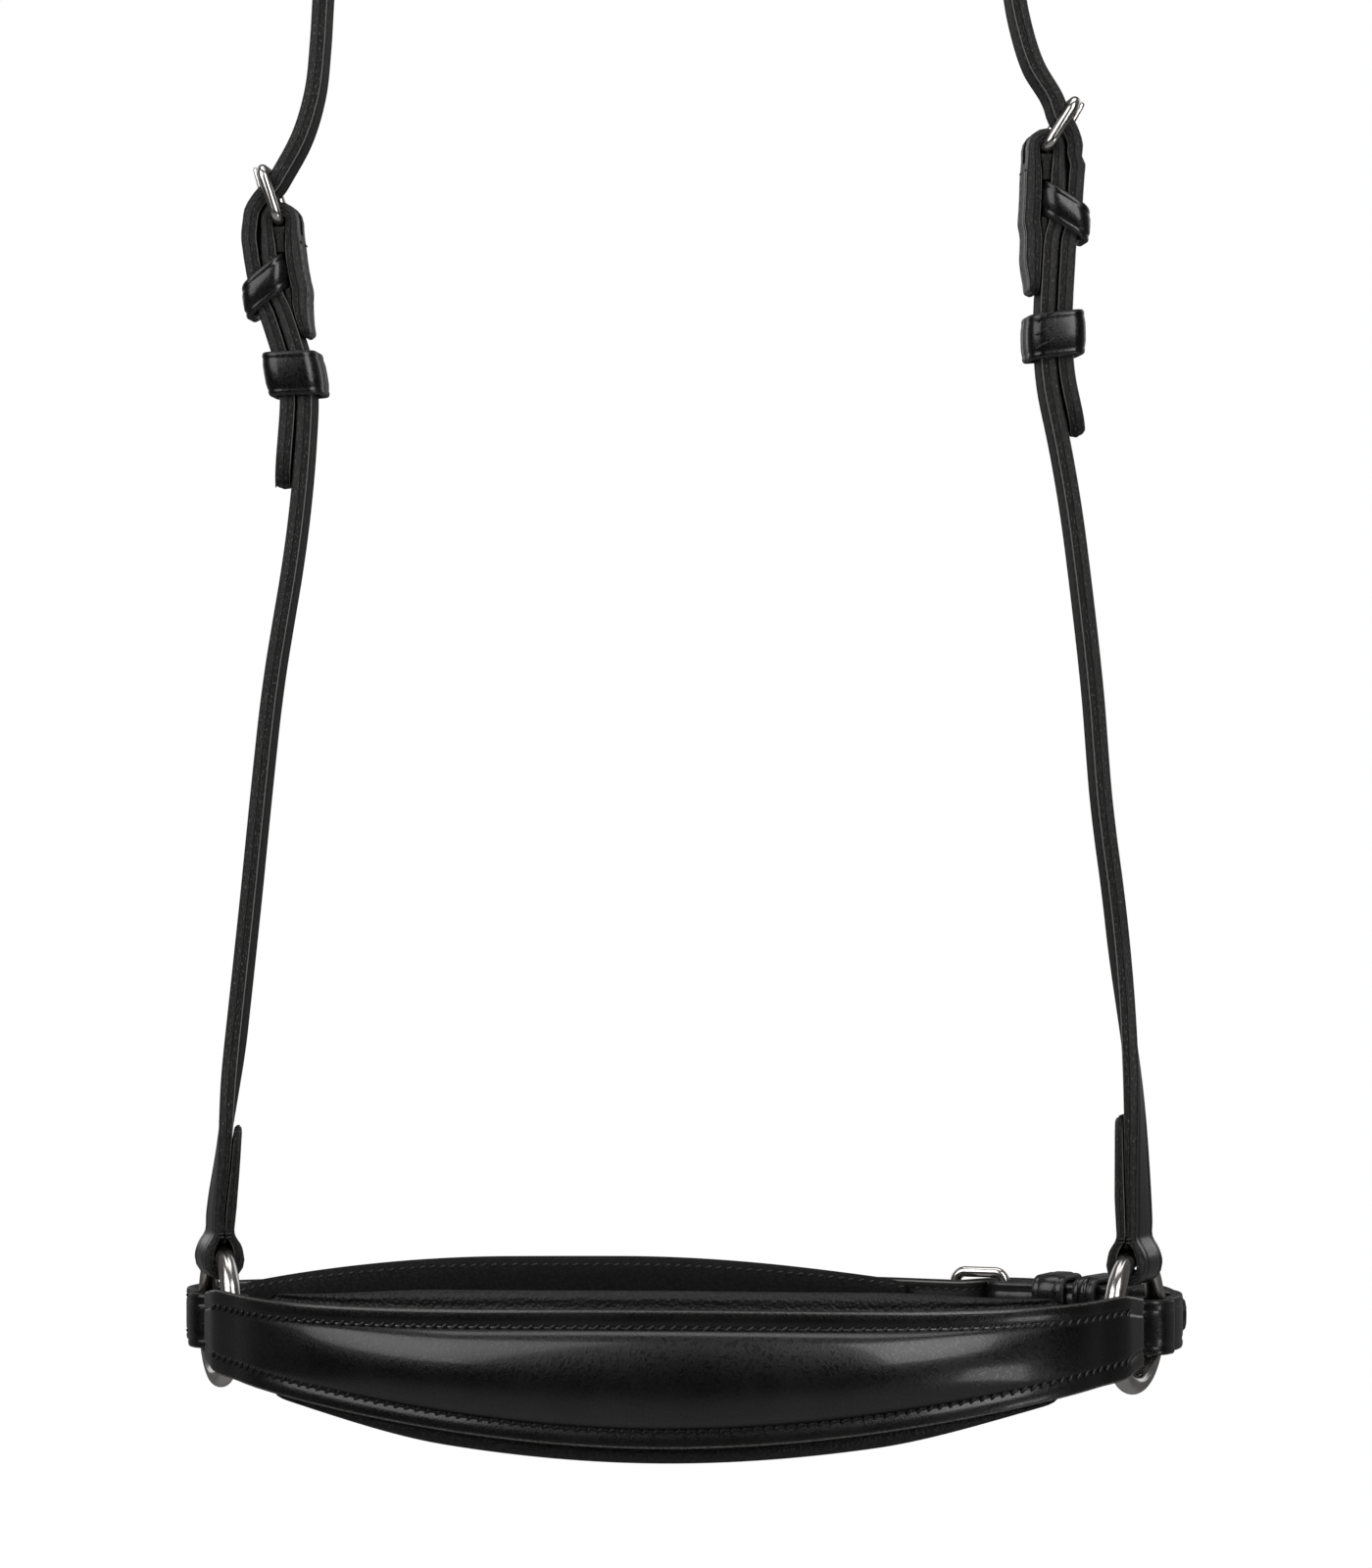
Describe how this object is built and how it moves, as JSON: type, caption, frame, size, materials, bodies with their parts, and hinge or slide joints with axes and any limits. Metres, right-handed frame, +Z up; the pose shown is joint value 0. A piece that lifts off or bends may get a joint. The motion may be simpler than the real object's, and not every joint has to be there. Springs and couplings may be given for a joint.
{
  "type": "ringed horse noseband with head strap",
  "caption": "Black leather ringed noseband on its own buckled head strap, with a raised padded nosepiece, a padded jaw strap and stainless rings and buckles",
  "frame": {"origin": "the middle of the head strap's underside, where it rests on the poll", "axes": "+X towards the horse's near (left) side, -Y towards the front of the nose, +Z up"},
  "size_m": [0.2655, 0.138, 0.5449],
  "materials": {
    "smooth_leather": "smooth glossy black bridle leather",
    "lining_leather": "matt black lining leather",
    "grained_leather": "soft pebbled black leather over padding",
    "felt_filler": "pressed felt, hidden",
    "stainless_steel": "polished stainless steel"
  },
  "bodies": {
    "head_loop": {"head_strap": "smooth_leather", "head_lining": "lining_leather", "cheek_strap_near": "smooth_leather", "cheek_strap_off": "smooth_leather", "cheek_lining_near": "lining_leather", "cheek_lining_off": "lining_leather", "upper_keeper_near": "smooth_leather", "upper_keeper_off": "smooth_leather"},
    "near_ring": {"ring_near": "stainless_steel"},
    "off_ring": {"ring_off": "stainless_steel"},
    "noseband": {"nosepiece_outer": "smooth_leather", "nosepiece_filler": "felt_filler", "nosepiece_pad": "grained_leather", "jaw_buckle_strap": "smooth_leather", "jaw_fixed_keeper": "smooth_leather", "jaw_strap": "smooth_leather", "jaw_lining": "lining_leather", "jaw_pad": "grained_leather"},
    "near_buckle": {"head_buckle_near": "stainless_steel"},
    "near_tongue": {"head_tongue_near": "stainless_steel"},
    "off_buckle": {"head_buckle_off": "stainless_steel"},
    "off_tongue": {"head_tongue_off": "stainless_steel"},
    "near_runner": {"runner_keeper_near": "smooth_leather"},
    "off_runner": {"runner_keeper_off": "smooth_leather"},
    "jaw_frame": {"jaw_buckle": "stainless_steel"},
    "jaw_prong": {"jaw_tongue": "stainless_steel"},
    "jaw_runner": {"jaw_runner_keeper": "smooth_leather"}
  },
  "joints": [
    {"name": "near_ring_turn", "type": "hinge", "parent": "head_loop", "child": "near_ring", "pos_m": [0.117, 0, -0.51], "axis": [0.9397, -0.342, 0], "continuous": true},
    {"name": "off_ring_turn", "type": "hinge", "parent": "head_loop", "child": "off_ring", "pos_m": [-0.117, 0, -0.51], "axis": [-0.9397, -0.342, 0], "continuous": true},
    {"name": "noseband_swing", "type": "hinge", "parent": "head_loop", "child": "noseband", "pos_m": [0, 0, -0.51], "axis": [1, 0, 0], "range_deg": [-8, 8]},
    {"name": "near_buckle_tilt", "type": "hinge", "parent": "head_loop", "child": "near_buckle", "pos_m": [0.09383, 0.00004, -0.213], "axis": [-0.1564, 0.9877, 0], "range_deg": [0, 8]},
    {"name": "off_buckle_tilt", "type": "hinge", "parent": "head_loop", "child": "off_buckle", "pos_m": [-0.10074, 0, -0.23], "axis": [0, -1, 0], "range_deg": [0, 8]},
    {"name": "near_tongue_lift", "type": "hinge", "parent": "near_buckle", "child": "near_tongue", "pos_m": [0.09383, 0.00004, -0.213], "axis": [-0.1564, 0.9877, 0], "range_deg": [0, 10]},
    {"name": "off_tongue_lift", "type": "hinge", "parent": "off_buckle", "child": "off_tongue", "pos_m": [-0.10074, 0, -0.23], "axis": [0, -1, 0], "range_deg": [0, 10]},
    {"name": "near_runner_slide", "type": "slide", "parent": "head_loop", "child": "near_runner", "axis": [-0.0203, -0.0032, 0.9998], "range_m": [-0.003, 0.003]},
    {"name": "off_runner_slide", "type": "slide", "parent": "head_loop", "child": "off_runner", "axis": [-0.1732, 0, 0.9849], "range_m": [-0.003, 0.003]},
    {"name": "jaw_frame_tilt", "type": "hinge", "parent": "noseband", "child": "jaw_frame", "pos_m": [0.08323, 0.06149, -0.5126], "axis": [0, 0, -1], "range_deg": [0, 8]},
    {"name": "jaw_prong_lift", "type": "hinge", "parent": "jaw_frame", "child": "jaw_prong", "pos_m": [0.08323, 0.06149, -0.5126], "axis": [0, 0, -1], "range_deg": [0, 10]},
    {"name": "jaw_runner_slide", "type": "slide", "parent": "noseband", "child": "jaw_runner", "axis": [-0.8853, 0.4651, 0], "range_m": [-0.002, 0.002]}
  ]
}
